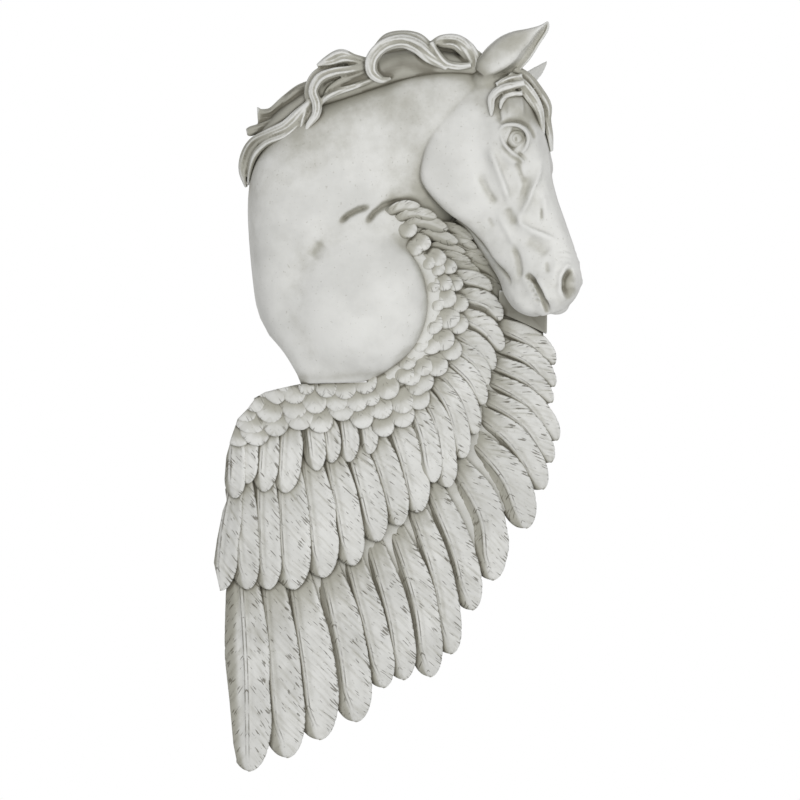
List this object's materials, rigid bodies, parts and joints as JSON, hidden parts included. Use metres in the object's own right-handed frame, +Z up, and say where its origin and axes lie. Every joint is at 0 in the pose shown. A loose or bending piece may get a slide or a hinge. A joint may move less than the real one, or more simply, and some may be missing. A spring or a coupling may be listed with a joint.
{
  "type": "winged horse wall sculpture",
  "caption": "Wall sculpture of a winged horse: head, neck and shoulder in high relief over one hanging feathered wing, in an antique stone finish.",
  "frame": {"origin": "on the flat back, behind the shoulder, at the mount wall_face", "axes": "+Z up along the hanging wing, +Y into the wall, -Y out into the room, +X towards the side that the nose points to"},
  "size_m": [0.3701, 0.1499, 0.7506],
  "materials": {
    "antique_stone": "matt antique white cast stone with a grey-brown wash in the hollows"
  },
  "bodies": {
    "root": {"pegasus": "antique_stone"}
  },
  "joints": []
}
